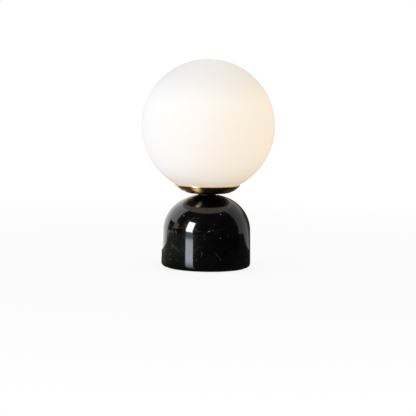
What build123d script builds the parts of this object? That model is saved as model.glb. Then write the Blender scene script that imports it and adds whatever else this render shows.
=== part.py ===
# Glass globe table lamp: a polished black marble dome, a turned brass dish on a short black
# neck, and an opal glass globe that rests in the dish round its lampholder and bulb.
# Millimetres. +Z is up, the origin is the centre of the resting face and the cord inlet
# faces +Y, the rear.

import os
from math import acos, cos, degrees, radians, sin, sqrt, tan

from build123d import *

os.makedirs("parts", exist_ok=True)

# Driving dimensions

# soft pad under the base
pad_diameter = 108.0
pad_thickness = 2.0
pad_standout = 0.8  # how far the pad lifts the stone off the table

# marble base
foot_diameter = 121.0
side_draft = 1.2  # degrees off upright
shoulder_radius = 48.0
crown_radius = 77.4
crown_height = 99.6  # of the crown's arc on the axis, before the seat is ground flat
seat_diameter = 27.0
foot_round = 5.2
recess_diameter = 52.0
recess_depth = 17.0
base_clearance = 0.5  # round the pad, the tube and the inlet's flange

# cord inlet at the rear
inlet_height = 11.5
inlet_bore = 6.6
inlet_wall = 1.2
inlet_barrel = 12.0
inlet_flange_diameter = 13.0
inlet_flange = 1.5
inlet_flange_round = 0.5

# threaded tube through the middle, with its nuts and washers
tube_diameter = 10.0
tube_bore = 7.6
tube_standout = 2.0  # past the lower nut
nut_across_flats = 14.0
nut_thickness = 4.0
nut_chamfer = 0.6
washer_diameter = 40.0
washer_thickness = 2.0
spring_washer_diameter = 16.0
spring_washer_thickness = 1.6
spring_washer_slit = 1.4
bush_flange_diameter = 12.0
bush_flange = 1.0
bush_barrel = 5.0
bush_bore = 6.0

# black neck between the stone and the dish
neck_diameter = 24.0
neck_height = 1.1

# brass dish
dish_wall = 1.0
dish_floor_diameter = 26.0
dish_knee_diameter = 58.6
dish_knee_rise = 1.85
dish_rim_diameter = 89.0
dish_rim_rise = 12.1
dish_bowl_radius = 28.6
rim_round = 0.49  # share of the wall, so the rim's edge is fully round
groove_radius = 0.35
groove_place = 0.58  # share of the bowl's arc, from the knee to the rim

# opal glass globe
globe_diameter = 180.0
glass_wall = 3.0
collar_diameter = 75.0
collar_length = 2.0
collar_edge_round = 0.8
collar_blend = 1.0
gasket_lip = 0.8  # thickness of the gasket at its outer edge
gasket_margin = 0.7  # how far the gasket shows on each side of the collar's edge

# sprung clip that holds the globe
clip_hub_diameter = 23.0
clip_arms = 3
clip_width = 8.0
clip_thickness = 0.6
clip_clearance = 0.5  # to the glass, with the arm sprung in
clip_upright = 8.0
clip_tip_height = 5.0
clip_tip_slope = 35.0  # degrees inwards from upright
clip_bend = 2.5
sleeve_wall = 0.6

# lampholder, small Edison screw
holder_gap = 1.0  # above the upper nut
holder_height = 54.0
holder_diameter = 28.0
holder_wall = 1.6
holder_neck_diameter = 16.0
holder_neck_height = 5.0
holder_flare_height = 7.0
holder_cap_height = 22.0
holder_thread = 9.0
holder_mouth_diameter = 21.0
holder_step = 0.5  # of the skirt's outside below the cap's
holder_overlap = 6.0  # of the skirt inside the cap
grub_screw_diameter = 3.0
insert_floor = 7.0
insert_tube_wall = 1.5
insert_tube_height = 20.0
shell_bore = 14.3
shell_wall = 0.4
shell_height = 19.0
contact_height = 28.5  # of the centre contact above the holder's foot
contact_strip = 0.4
contact_width = 5.0
contact_pad = 5.0
contact_ramp = 1.2  # run of the slope between the strip's foot and its tip
terminal_size = 5.0
terminal_height = 6.0
terminal_spacing = 13.0
terminal_screw_diameter = 3.0
terminal_screw_head_diameter = 4.4
terminal_screw_head = 1.4

# bulb, 45 mm ball with a small Edison screw cap
bulb_diameter = 45.0
bulb_length = 78.0
bulb_wall = 0.8
bulb_neck_diameter = 16.0
bulb_neck_blend = 14.0
bulb_cap_length = 25.0
bulb_cap_diameter = 13.6
bulb_cap_flare_diameter = 17.2
bulb_cap_flare = 5.0
bulb_cap_wall = 0.4
bulb_tip_diameter = 5.0
bulb_tip = 1.0
bulb_insulator_height = 2.8
bulb_insulator_top_diameter = 12.0
stem_flare_diameter = 11.0
stem_diameter = 4.4
stem_height = 17.0
filament_count = 4
filament_diameter = 1.8
filament_length = 28.0
filament_foot_radius = 5.0
filament_tilt = 9.0  # degrees outwards
support_wire = 0.8
driver_diameter = 11.0
driver_thickness = 1.2
driver_height = 13.0  # above the bulb's tip
driver_coil_diameter = 5.0
driver_coil_height = 5.0

# Heights and places that follow from them

foot_z = pad_standout
crown_centre_z = crown_height - crown_radius
seat_radius = seat_diameter / 2
seat_z = crown_centre_z + sqrt(crown_radius**2 - seat_radius**2)
recess_top_z = foot_z + recess_depth
tube_radius = tube_diameter / 2
base_nut_z = recess_top_z - washer_thickness - spring_washer_thickness - nut_thickness
tube_foot_z = base_nut_z - tube_standout

dish_z = seat_z + neck_height
clip_z = dish_z + dish_wall
upper_washer_z = clip_z + clip_thickness
upper_nut_z = upper_washer_z + spring_washer_thickness
holder_z = upper_nut_z + nut_thickness + holder_gap
tube_top_z = holder_z + holder_thread

# the bowl's arc runs from the knee to the rim, and its centre lies inside the dish
knee = Vector(dish_knee_diameter / 2, dish_z + dish_knee_rise)
rim = Vector(dish_rim_diameter / 2, dish_z + dish_rim_rise)
chord = rim - knee
bowl_centre = (knee + rim) / 2 + Vector(-chord.Y, chord.X).normalized() * sqrt(
    dish_bowl_radius**2 - (chord.length / 2) ** 2
)

# the glass collar stands on the gasket, whose underside lies on the bowl
collar_radius = collar_diameter / 2
collar_bore_radius = collar_radius - glass_wall
gasket_outer_radius = collar_radius + gasket_margin
gasket_inner_radius = collar_bore_radius - gasket_margin
gasket_foot_z = bowl_centre.Y - sqrt(
    (dish_bowl_radius - dish_wall) ** 2 - (gasket_outer_radius - bowl_centre.X) ** 2
)
collar_z = gasket_foot_z + gasket_lip
globe_radius = globe_diameter / 2
globe_centre_z = collar_z + collar_length + sqrt(globe_radius**2 - collar_radius**2)

contact_z = holder_z + contact_height
bulb_radius = bulb_diameter / 2
bulb_centre_z = contact_z + bulb_length - bulb_radius
bulb_glass_z = contact_z + bulb_cap_length - bulb_cap_flare / 2


# a hexagon nut on the tube, chamfered on its outer corners
def hex_nut(foot):
    with BuildPart() as nut:
        with BuildSketch(Plane.XY.offset(foot)):
            RegularPolygon(nut_across_flats / 2, side_count=6, major_radius=False)
            Circle(tube_radius, mode=Mode.SUBTRACT)
        extrude(amount=nut_thickness)
        with BuildSketch(Plane.XZ) as corner_profile:
            with Locations((0, foot + nut_thickness / 2)):
                Rectangle(nut_across_flats / cos(radians(30)), nut_thickness)
                chamfer(corner_profile.vertices(), nut_chamfer)
            split(bisect_by=Plane.YZ, keep=Keep.TOP)
        revolve(axis=Axis.Z, mode=Mode.INTERSECT)
    return nut


# a split spring washer on the tube
def spring_washer(foot):
    with BuildPart() as washer:
        with BuildSketch(Plane.XY.offset(foot)):
            Circle(spring_washer_diameter / 2)
            Circle(tube_radius, mode=Mode.SUBTRACT)
            with Locations((spring_washer_diameter / 2, 0)):
                Rectangle(spring_washer_diameter, spring_washer_slit, mode=Mode.SUBTRACT)
        extrude(amount=spring_washer_thickness)
    return washer


# Base

with BuildPart() as base_pad:
    with BuildSketch():
        Circle(pad_diameter / 2)
    extrude(amount=pad_thickness)
base_pad.part.label = "base_pad"
export_step(base_pad.part, "parts/base_pad.step")

# the crown's circle meets the drafted side, and the shoulder arc is tangent to both
inlet_mouth_y = foot_diameter / 2 - inlet_height * tan(radians(side_draft))
with BuildPart() as marble_base:
    with BuildSketch(Plane.XZ) as marble_profile:
        with Locations((0, crown_centre_z)):
            Circle(crown_radius)
        with BuildLine():
            stone_height = seat_z - foot_z
            Polyline(
                (0, foot_z),
                (foot_diameter / 2, foot_z),
                (foot_diameter / 2 - stone_height * tan(radians(side_draft)), seat_z),
                (0, seat_z),
                close=True,
            )
        make_face(mode=Mode.INTERSECT)
        outer_corners = marble_profile.vertices().sort_by(Axis.X)[-2:]
        fillet(outer_corners.sort_by(Axis.Y)[-1], shoulder_radius)
        foot_corner = marble_profile.vertices().group_by(Axis.Y)[0].sort_by(Axis.X)[-1]
        fillet(foot_corner, foot_round)
    revolve(axis=Axis.Z)
    with Locations(Plane((0, 0, foot_z), z_dir=(0, 0, -1))):
        CounterBoreHole(
            radius=tube_radius + base_clearance,
            counter_bore_radius=recess_diameter / 2,
            counter_bore_depth=recess_depth,
        )
    with BuildSketch(Plane.XY.offset(foot_z)):
        Circle(pad_diameter / 2 + base_clearance)
    extrude(amount=pad_thickness - pad_standout, mode=Mode.SUBTRACT)
    with Locations(Plane((0, inlet_mouth_y, inlet_height), z_dir=(0, 1, 0))):
        CounterBoreHole(
            radius=inlet_bore / 2 + inlet_wall,
            counter_bore_radius=inlet_flange_diameter / 2 + base_clearance,
            counter_bore_depth=inlet_flange,
            depth=inlet_mouth_y,
        )
marble_base.part.label = "marble_base"
export_step(marble_base.part, "parts/marble_base.step")

with BuildPart() as cord_grommet:
    with BuildSketch(Plane((0, inlet_mouth_y, inlet_height), z_dir=(0, -1, 0))):
        Circle(inlet_flange_diameter / 2)
    extrude(amount=inlet_flange)
    with BuildSketch(Plane((0, inlet_mouth_y, inlet_height), z_dir=(0, -1, 0))):
        Circle(inlet_bore / 2 + inlet_wall)
    extrude(amount=inlet_flange + inlet_barrel)
    fillet(cord_grommet.faces().sort_by(Axis.Y)[-1].edges(), inlet_flange_round)
    with Locations(Plane((0, inlet_mouth_y, inlet_height), z_dir=(0, 1, 0))):
        Hole(inlet_bore / 2)
cord_grommet.part.label = "cord_grommet"
export_step(cord_grommet.part, "parts/cord_grommet.step")

with BuildPart() as base_washer:
    with BuildSketch(Plane.XY.offset(recess_top_z - washer_thickness)):
        Circle(washer_diameter / 2)
        Circle(tube_radius, mode=Mode.SUBTRACT)
    extrude(amount=washer_thickness)
base_washer.part.label = "base_washer"
export_step(base_washer.part, "parts/base_washer.step")

base_spring_washer = spring_washer(base_nut_z + nut_thickness)
base_spring_washer.part.label = "base_spring_washer"
export_step(base_spring_washer.part, "parts/base_spring_washer.step")

base_nut = hex_nut(base_nut_z)
base_nut.part.label = "base_nut"
export_step(base_nut.part, "parts/base_nut.step")

with BuildPart() as centre_tube:
    with BuildSketch(Plane.XY.offset(tube_foot_z)):
        Circle(tube_radius)
        Circle(tube_bore / 2, mode=Mode.SUBTRACT)
    extrude(amount=tube_top_z - tube_foot_z)
centre_tube.part.label = "centre_tube"
export_step(centre_tube.part, "parts/centre_tube.step")

with BuildPart() as tube_bush:
    with BuildSketch(Plane.XY.offset(tube_foot_z - bush_flange)):
        Circle(bush_flange_diameter / 2)
    extrude(amount=bush_flange)
    with BuildSketch(Plane.XY.offset(tube_foot_z)):
        Circle(tube_bore / 2)
    extrude(amount=bush_barrel)
    with Locations((0, 0, tube_foot_z)):
        Hole(bush_bore / 2)
tube_bush.part.label = "tube_bush"
export_step(tube_bush.part, "parts/tube_bush.step")

# Neck and dish

with BuildPart() as neck_ring:
    with BuildSketch(Plane.XY.offset(seat_z)):
        Circle(neck_diameter / 2)
        Circle(tube_radius, mode=Mode.SUBTRACT)
    extrude(amount=neck_height)
neck_ring.part.label = "neck_ring"
export_step(neck_ring.part, "parts/neck_ring.step")

# flat floor on the neck, a shallow cone to the knee, then the bowl's arc up to the rim
with BuildPart() as brass_dish:
    with BuildSketch(Plane.XZ) as dish_profile:
        with BuildLine():
            floor = Line((tube_radius, dish_z), (dish_floor_diameter / 2, dish_z))
            cone = Line(floor @ 1, (knee.X, knee.Y))
            bowl = RadiusArc(cone @ 1, (rim.X, rim.Y), -dish_bowl_radius)
            offset(amount=dish_wall, side=Side.LEFT, kind=Kind.INTERSECTION)
        make_face()
        fillet(dish_profile.vertices().sort_by(Axis.Y)[-2:], rim_round * dish_wall)
    revolve(axis=Axis.Z)
    groove = bowl @ groove_place
    with BuildSketch(Plane.XZ):
        with Locations((groove.X, groove.Z)):
            Circle(groove_radius)
    revolve(axis=Axis.Z, mode=Mode.SUBTRACT)
brass_dish.part.label = "brass_dish"
export_step(brass_dish.part, "parts/brass_dish.step")

# a wedge-shaped ring: flat on top for the ground edge of the glass, the bowl's form below
with BuildPart() as globe_gasket:
    with BuildSketch(Plane.XZ):
        with BuildLine():
            inner_foot_z = bowl_centre.Y - sqrt(
                (dish_bowl_radius - dish_wall) ** 2 - (gasket_inner_radius - bowl_centre.X) ** 2
            )
            underside = RadiusArc(
                (gasket_inner_radius, inner_foot_z),
                (gasket_outer_radius, gasket_foot_z),
                -(dish_bowl_radius - dish_wall),
            )
            Polyline(
                underside @ 1,
                (gasket_outer_radius, collar_z),
                (gasket_inner_radius, collar_z),
                underside @ 0,
            )
        make_face()
    revolve(axis=Axis.Z)
globe_gasket.part.label = "globe_gasket"
export_step(globe_gasket.part, "parts/globe_gasket.step")

# Sprung clip: a hub under the upper nut, and arms that rise clear of the bowl, stand
# upright inside the glass collar and turn inwards at their tips

sleeve_reach = sqrt(
    (collar_bore_radius - clip_clearance) ** 2 - (clip_width / 2 + sleeve_wall) ** 2
)
upright_x = sleeve_reach - sleeve_wall - clip_thickness / 2
upright_foot_z = collar_z
upright_top_z = upright_foot_z + clip_upright
hub_mid_z = clip_z + clip_thickness / 2
with BuildPart() as clip_spider:
    with BuildSketch(Plane.XY.offset(clip_z)):
        Circle(clip_hub_diameter / 2)
        Circle(tube_radius, mode=Mode.SUBTRACT)
    extrude(amount=clip_thickness)
    for arm in range(clip_arms):
        with BuildSketch(Plane.XZ.rotated((0, 0, 360 * arm / clip_arms))):
            with BuildLine():
                FilletPolyline(
                    (clip_hub_diameter / 2 - clip_width / 2, hub_mid_z),
                    (clip_hub_diameter / 2, hub_mid_z),
                    (upright_x, upright_foot_z),
                    (upright_x, upright_top_z),
                    (
                        upright_x - clip_tip_height * tan(radians(clip_tip_slope)),
                        upright_top_z + clip_tip_height,
                    ),
                    radius=clip_bend,
                )
            trace(line_width=clip_thickness)
        extrude(amount=clip_width / 2, both=True)
clip_spider.part.label = "clip_spider"
export_step(clip_spider.part, "parts/clip_spider.step")

# soft sleeves on the straight of each arm, between its bends
sleeve_foot_z = upright_foot_z + clip_bend
sleeve_top_z = upright_top_z - clip_bend / 2
with BuildPart() as clip_sleeves:
    with BuildSketch(Plane.XY.offset(sleeve_foot_z)):
        with PolarLocations(upright_x, clip_arms):
            Rectangle(clip_thickness + 2 * sleeve_wall, clip_width + 2 * sleeve_wall)
            Rectangle(clip_thickness, clip_width, mode=Mode.SUBTRACT)
    extrude(amount=sleeve_top_z - sleeve_foot_z)
clip_sleeves.part.label = "clip_sleeves"
export_step(clip_sleeves.part, "parts/clip_sleeves.step")

dish_spring_washer = spring_washer(upper_washer_z)
dish_spring_washer.part.label = "dish_spring_washer"
export_step(dish_spring_washer.part, "parts/dish_spring_washer.step")

dish_nut = hex_nut(upper_nut_z)
dish_nut.part.label = "dish_nut"
export_step(dish_nut.part, "parts/dish_nut.step")

# Lampholder

holder_radius = holder_diameter / 2
cap_top_z = holder_z + holder_cap_height
flare_foot_z = holder_z + holder_neck_height
flare_top_z = flare_foot_z + holder_flare_height
cap_inner_radius = holder_radius - holder_wall
boss_radius = tube_radius + holder_wall
grub_screw_z = holder_z + grub_screw_diameter / 2 + holder_wall / 2
with BuildPart() as holder_cap:
    with BuildSketch(Plane.XZ):
        with BuildLine():
            neck_side = Polyline(
                (tube_radius, holder_z),
                (holder_neck_diameter / 2, holder_z),
                (holder_neck_diameter / 2, flare_foot_z),
            )
            flare = TangentArc((holder_radius, flare_top_z), neck_side @ 1, tangent=(0, -1))
            Polyline(
                flare @ 0,
                (holder_radius, cap_top_z),
                (cap_inner_radius, cap_top_z),
                (cap_inner_radius, flare_top_z + holder_wall),
                (boss_radius, flare_foot_z + holder_wall),
                (boss_radius, tube_top_z),
                (tube_radius, tube_top_z),
                (tube_radius, holder_z),
            )
        make_face()
    revolve(axis=Axis.Z)
    with Locations(Plane((0, holder_neck_diameter / 2, grub_screw_z), z_dir=(0, 1, 0))):
        Hole(grub_screw_diameter / 2, depth=holder_neck_diameter / 2)
holder_cap.part.label = "holder_cap"
export_step(holder_cap.part, "parts/holder_cap.step")

# the screw bites on the tube and ends flush with the cap's neck
with BuildPart() as holder_grub_screw:
    with BuildSketch(Plane((0, tube_radius, grub_screw_z), z_dir=(0, 1, 0))):
        Circle(grub_screw_diameter / 2)
    extrude(amount=holder_neck_diameter / 2 - tube_radius)
holder_grub_screw.part.label = "holder_grub_screw"
export_step(holder_grub_screw.part, "parts/holder_grub_screw.step")

skirt_radius = holder_radius - holder_step
skirt_bore = cap_inner_radius - holder_wall
mouth_radius = holder_mouth_diameter / 2
holder_top_z = holder_z + holder_height
skirt_foot_z = cap_top_z - holder_overlap
with BuildPart() as holder_skirt:
    with BuildSketch(Plane.XZ) as skirt_profile:
        with BuildLine():
            Polyline(
                (skirt_bore, skirt_foot_z),
                (cap_inner_radius, skirt_foot_z),
                (cap_inner_radius, cap_top_z),
                (skirt_radius, cap_top_z),
                (skirt_radius, holder_top_z),
                (mouth_radius, holder_top_z),
                (mouth_radius, holder_top_z - holder_wall),
                (skirt_bore, holder_top_z - holder_wall),
                close=True,
            )
        make_face()
        top_corner = skirt_profile.vertices().group_by(Axis.Y)[-1].sort_by(Axis.X)[-1]
        fillet(top_corner, holder_wall / 2)
    revolve(axis=Axis.Z)
holder_skirt.part.label = "holder_skirt"
export_step(holder_skirt.part, "parts/holder_skirt.step")

# one-piece insulator: a floor across the skirt, and a tube that carries the screw shell
shell_foot_z = contact_z - contact_strip - bulb_tip
insert_foot_z = shell_foot_z - insert_floor
shell_outer_radius = shell_bore / 2 + shell_wall
with BuildPart() as holder_insert:
    with BuildSketch(Plane.XY.offset(insert_foot_z)):
        Circle(skirt_bore)
    extrude(amount=insert_floor)
    with BuildSketch(Plane.XY.offset(shell_foot_z)):
        Circle(shell_outer_radius + insert_tube_wall)
        Circle(shell_outer_radius, mode=Mode.SUBTRACT)
    extrude(amount=insert_tube_height)
holder_insert.part.label = "holder_insert"
export_step(holder_insert.part, "parts/holder_insert.step")

with BuildPart() as holder_shell:
    with BuildSketch(Plane.XY.offset(shell_foot_z)):
        Circle(shell_outer_radius)
        Circle(shell_bore / 2, mode=Mode.SUBTRACT)
    extrude(amount=shell_height)
holder_shell.part.label = "holder_shell"
export_step(holder_shell.part, "parts/holder_shell.step")

# a sprung strip from the floor of the insert up to the bulb's tip
with BuildPart() as centre_contact:
    with BuildSketch(Plane.XZ):
        with BuildLine():
            Polyline(
                (-contact_pad, shell_foot_z + contact_strip / 2),
                (-contact_pad / 2, shell_foot_z + contact_strip / 2),
                (contact_ramp - contact_pad / 2, contact_z - contact_strip / 2),
                (contact_pad / 2, contact_z - contact_strip / 2),
            )
        trace(line_width=contact_strip)
    extrude(amount=contact_width / 2, both=True)
centre_contact.part.label = "centre_contact"
export_step(centre_contact.part, "parts/centre_contact.step")

# two terminal blocks under the insert, each with a clamping screw from the front
screw_face = Plane.XZ.offset(terminal_size / 2)
terminal_screw_z = insert_foot_z - terminal_height / 2
with BuildPart() as holder_terminals:
    with BuildSketch(Plane.XY.offset(insert_foot_z - terminal_height)):
        with GridLocations(terminal_spacing, 0, 2, 1):
            Rectangle(terminal_size, terminal_size)
    extrude(amount=terminal_height)
    with BuildSketch(screw_face):
        with Locations((0, terminal_screw_z)), GridLocations(terminal_spacing, 0, 2, 1):
            Circle(terminal_screw_diameter / 2)
    extrude(amount=-terminal_size, mode=Mode.SUBTRACT)
holder_terminals.part.label = "holder_terminals"
export_step(holder_terminals.part, "parts/holder_terminals.step")

with BuildPart() as terminal_screws:
    with BuildSketch(screw_face):
        with Locations((0, terminal_screw_z)), GridLocations(terminal_spacing, 0, 2, 1):
            Circle(terminal_screw_head_diameter / 2)
    extrude(amount=terminal_screw_head)
    with BuildSketch(screw_face):
        with Locations((0, terminal_screw_z)), GridLocations(terminal_spacing, 0, 2, 1):
            Circle(terminal_screw_diameter / 2)
    extrude(amount=-terminal_size)
terminal_screws.part.label = "terminal_screws"
export_step(terminal_screws.part, "parts/terminal_screws.step")

# Bulb

with BuildPart() as bulb_contact:
    with BuildSketch(Plane.XY.offset(contact_z)):
        Circle(bulb_tip_diameter / 2)
    extrude(amount=bulb_tip)
bulb_contact.part.label = "bulb_contact"
export_step(bulb_contact.part, "parts/bulb_contact.step")

insulator_z = contact_z + bulb_tip
cap_foot_z = insulator_z + bulb_insulator_height
with BuildPart() as bulb_insulator:
    with BuildSketch(Plane.XY.offset(insulator_z)):
        Circle(bulb_tip_diameter / 2)
    with BuildSketch(Plane.XY.offset(cap_foot_z)):
        Circle(bulb_insulator_top_diameter / 2)
    loft()
bulb_insulator.part.label = "bulb_insulator"
export_step(bulb_insulator.part, "parts/bulb_insulator.step")

cap_radius = bulb_cap_diameter / 2
cap_flare_radius = bulb_cap_flare_diameter / 2
bulb_cap_top_z = contact_z + bulb_cap_length
with BuildPart() as bulb_cap:
    with BuildSketch(Plane.XZ):
        with BuildLine():
            Polyline(
                (0, cap_foot_z),
                (bulb_insulator_top_diameter / 2, cap_foot_z),
                (cap_radius, cap_foot_z + cap_radius - bulb_insulator_top_diameter / 2),
                (cap_radius, bulb_cap_top_z - bulb_cap_flare),
                (cap_flare_radius, bulb_cap_top_z - bulb_cap_flare / 2),
                (cap_flare_radius, bulb_cap_top_z),
            )
            offset(amount=bulb_cap_wall, side=Side.LEFT, kind=Kind.INTERSECTION)
        make_face()
    revolve(axis=Axis.Z)
bulb_cap.part.label = "bulb_cap"
export_step(bulb_cap.part, "parts/bulb_cap.step")

# a ball with a blended neck that ends inside the cap's flare
with BuildPart() as bulb_glass:
    with BuildSketch(Plane.XZ) as envelope:
        with Locations((0, bulb_centre_z)):
            Circle(bulb_radius)
        with Locations((0, bulb_glass_z)):
            Rectangle(
                bulb_neck_diameter,
                bulb_centre_z - bulb_glass_z,
                align=(Align.CENTER, Align.MIN),
            )
        neck_corners = envelope.vertices().group_by(Axis.Y)[1]
        fillet(neck_corners, bulb_neck_blend)
        offset(amount=-bulb_wall, mode=Mode.SUBTRACT)
        split(bisect_by=Plane.YZ, keep=Keep.TOP)
    revolve(axis=Axis.Z)
bulb_glass.part.label = "bulb_glass"
export_step(bulb_glass.part, "parts/bulb_glass.step")

stem_foot_z = bulb_glass_z + bulb_wall
stem_top_z = stem_foot_z + stem_height
with BuildPart() as bulb_stem:
    with BuildSketch(Plane.XZ):
        with BuildLine():
            flare_end = (stem_diameter / 2, stem_foot_z + stem_height / 2)
            Polyline((0, stem_top_z), (0, stem_foot_z), (stem_flare_diameter / 2, stem_foot_z))
            TangentArc(flare_end, (stem_flare_diameter / 2, stem_foot_z), tangent=(0, -1, 0))
            Polyline(flare_end, (stem_diameter / 2, stem_top_z), (0, stem_top_z))
        make_face()
    revolve(axis=Axis.Z)
bulb_stem.part.label = "bulb_stem"
export_step(bulb_stem.part, "parts/bulb_stem.step")

# light rods lean outwards from the stem's top, and a wire frame carries both their ends
filament_rise = filament_length * cos(radians(filament_tilt))
filament_head_radius = filament_foot_radius + filament_length * sin(radians(filament_tilt))
filament_foot_z = stem_top_z + filament_diameter
filament_head_z = filament_foot_z + filament_rise
with BuildPart() as bulb_filaments:
    for rod in range(filament_count):
        turn = 360 * rod / filament_count
        foot = Vector(filament_foot_radius, 0, filament_foot_z).rotate(Axis.Z, turn)
        head = Vector(filament_head_radius, 0, filament_head_z).rotate(Axis.Z, turn)
        with BuildSketch(Plane(foot, z_dir=head - foot)):
            Circle(filament_diameter / 2)
        extrude(amount=filament_length)
bulb_filaments.part.label = "bulb_filaments"
export_step(bulb_filaments.part, "parts/bulb_filaments.step")

with BuildPart() as bulb_supports:
    with BuildSketch(Plane.XY.offset(stem_top_z)):
        Circle(support_wire / 2)
    extrude(amount=filament_head_z + support_wire - stem_top_z)
    spokes = (
        (filament_foot_z, filament_foot_radius),
        (filament_head_z, filament_head_radius),
    )
    for spoke_z, reach in spokes:
        for rod in range(filament_count):
            outward = Vector(1, 0, 0).rotate(Axis.Z, 360 * rod / filament_count)
            with BuildSketch(Plane((0, 0, spoke_z), z_dir=outward)):
                Circle(support_wire / 2)
            extrude(amount=reach)
    add(bulb_filaments.part, mode=Mode.SUBTRACT)
bulb_supports.part.label = "bulb_supports"
export_step(bulb_supports.part, "parts/bulb_supports.step")

driver_z = contact_z + driver_height
with BuildPart() as bulb_driver:
    with BuildSketch(Plane.XY.offset(driver_z)):
        Circle(driver_diameter / 2)
    extrude(amount=driver_thickness)
    with BuildSketch(Plane.XY.offset(driver_z)):
        Circle(driver_coil_diameter / 2)
    extrude(amount=-driver_coil_height)
bulb_driver.part.label = "bulb_driver"
export_step(bulb_driver.part, "parts/bulb_driver.step")

# Globe: a sphere on a short collar, both with the same wall

outer_dip = degrees(acos(collar_radius / globe_radius))
inner_dip = degrees(acos(collar_bore_radius / (globe_radius - glass_wall)))
with BuildPart() as globe_glass:
    with BuildSketch(Plane.XZ) as globe_profile:
        with BuildLine():
            outer = CenterArc((0, globe_centre_z), globe_radius, -outer_dip, 90 + outer_dip)
            inner = CenterArc(
                (0, globe_centre_z), globe_radius - glass_wall, -inner_dip, 90 + inner_dip
            )
            Polyline(
                outer @ 0,
                (collar_radius, collar_z),
                (collar_bore_radius, collar_z),
                inner @ 0,
            )
            Line(outer @ 1, inner @ 1)
        make_face()
        ground_edge = globe_profile.vertices().group_by(Axis.Y)[0]
        fillet(ground_edge, collar_edge_round)
        shoulder = globe_profile.vertices().sort_by_distance(tuple(outer @ 0))[0]
        fillet(shoulder, collar_blend)
    revolve(axis=Axis.Z)
globe_glass.part.label = "globe_glass"
export_step(globe_glass.part, "parts/globe_glass.step")

print("stone seat at", round(seat_z, 2), "and dish floor at", round(dish_z, 2))
print("glass edge at", round(collar_z, 2), "and globe centre at", round(globe_centre_z, 2))
print("globe bore radius", round(collar_bore_radius, 2), "and holder foot at", round(holder_z, 2))
print("bulb tip at", round(contact_z, 2), "and bulb centre at", round(bulb_centre_z, 2))
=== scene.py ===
# Looks of the glass globe table lamp: polished black marble, turned brass, satin opal glass,
# and the lampholder, clip and bulb that show once the globe is lifted off.

import math

import bpy
import numpy as np
from mathutils import Matrix, Vector


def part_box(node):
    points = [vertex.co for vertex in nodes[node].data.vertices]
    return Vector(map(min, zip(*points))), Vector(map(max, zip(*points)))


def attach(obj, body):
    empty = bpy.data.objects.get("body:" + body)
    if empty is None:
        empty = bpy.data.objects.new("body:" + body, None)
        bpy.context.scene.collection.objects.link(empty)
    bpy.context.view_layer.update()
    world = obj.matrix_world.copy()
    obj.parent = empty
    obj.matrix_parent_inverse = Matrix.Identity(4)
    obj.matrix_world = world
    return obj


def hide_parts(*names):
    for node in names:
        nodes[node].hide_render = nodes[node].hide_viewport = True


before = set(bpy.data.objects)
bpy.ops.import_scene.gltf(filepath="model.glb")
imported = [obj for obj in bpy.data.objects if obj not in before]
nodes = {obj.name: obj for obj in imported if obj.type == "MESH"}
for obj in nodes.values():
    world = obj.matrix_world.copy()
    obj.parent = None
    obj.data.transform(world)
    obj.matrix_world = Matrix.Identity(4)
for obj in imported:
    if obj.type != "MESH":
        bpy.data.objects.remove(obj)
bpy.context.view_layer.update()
scene = bpy.context.scene
mm = 0.001
print("frame loaded:", len(nodes), "nodes")


# a colour as it reads in a picture, 0 to 255, turned into the linear values of a shader
def shade(red, green, blue):
    levels = [value / 255 for value in (red, green, blue)]
    linear = [v / 12.92 if v <= 0.04045 else ((v + 0.055) / 1.055) ** 2.4 for v in levels]
    return (*linear, 1.0)


# sets a node's inputs: another node's output is linked, anything else is a plain value
def plug(tree, made, sockets):
    for name, value in sockets.items():
        if isinstance(value, bpy.types.NodeSocket):
            tree.links.new(value, made.inputs[name])
        else:
            made.inputs[name].default_value = value


def addNode(tree, kind, sockets=None, **settings):
    made = tree.nodes.new("ShaderNode" + kind)
    for name, value in settings.items():
        setattr(made, name, value)
    plug(tree, made, sockets or {})
    return made


def calc(tree, operation, *values, clamp=False):
    sockets = dict(enumerate(values))
    made = addNode(tree, "Math", sockets, operation=operation, use_clamp=clamp)
    return made.outputs[0]


def vectorCalc(tree, operation, *values, output="Vector"):
    sockets = dict(enumerate(values))
    return addNode(tree, "VectorMath", sockets, operation=operation).outputs[output]


# a smooth step of a value from low to high, put out between start and end
def span(tree, value, low, high, start=0.0, end=1.0):
    sockets = {"Value": value, "From Min": low, "From Max": high, "To Min": start, "To Max": end}
    return addNode(tree, "MapRange", sockets, interpolation_type="SMOOTHSTEP").outputs[0]


def noise(tree, place, scale, detail=2.0, roughness=0.5):
    sockets = {"Vector": place, "Scale": scale, "Detail": detail, "Roughness": roughness}
    return addNode(tree, "TexNoise", sockets).outputs[0]


def mixColour(tree, factor, first, second):
    made = addNode(tree, "Mix", data_type="RGBA")
    plug(tree, made, {0: factor, 6: first, 7: second})
    return made.outputs[2]


def objectPlace(tree):
    return addNode(tree, "TexCoord").outputs["Object"]


def axesOf(tree, place):
    return addNode(tree, "SeparateXYZ", {0: place}).outputs


# how far a place lies from the lamp's upright axis
def radiusOf(tree, place):
    flat = vectorCalc(tree, "MULTIPLY", place, (1, 1, 0))
    return vectorCalc(tree, "LENGTH", flat, output="Value")


# start, pushed about by noise over place, by at most half of reach each way
def pushed(tree, start, place, scale, detail, reach):
    sockets = {"Vector": place, "Scale": scale, "Detail": detail}
    push = addNode(tree, "TexNoise", sockets).outputs["Color"]
    centred = vectorCalc(tree, "SUBTRACT", push, (0.5, 0.5, 0.5))
    return vectorCalc(tree, "MULTIPLY_ADD", centred, reach, start)


# a new material with its Principled shader, and plain values set on that shader's own sockets
def newFinish(name, **values):
    material = bpy.data.materials.new(name)
    material.use_nodes = True
    tree = material.node_tree
    surface = tree.nodes["Principled BSDF"]
    for key, value in values.items():
        surface.inputs[key.replace("_", " ")].default_value = value
    return material, tree, surface


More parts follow.
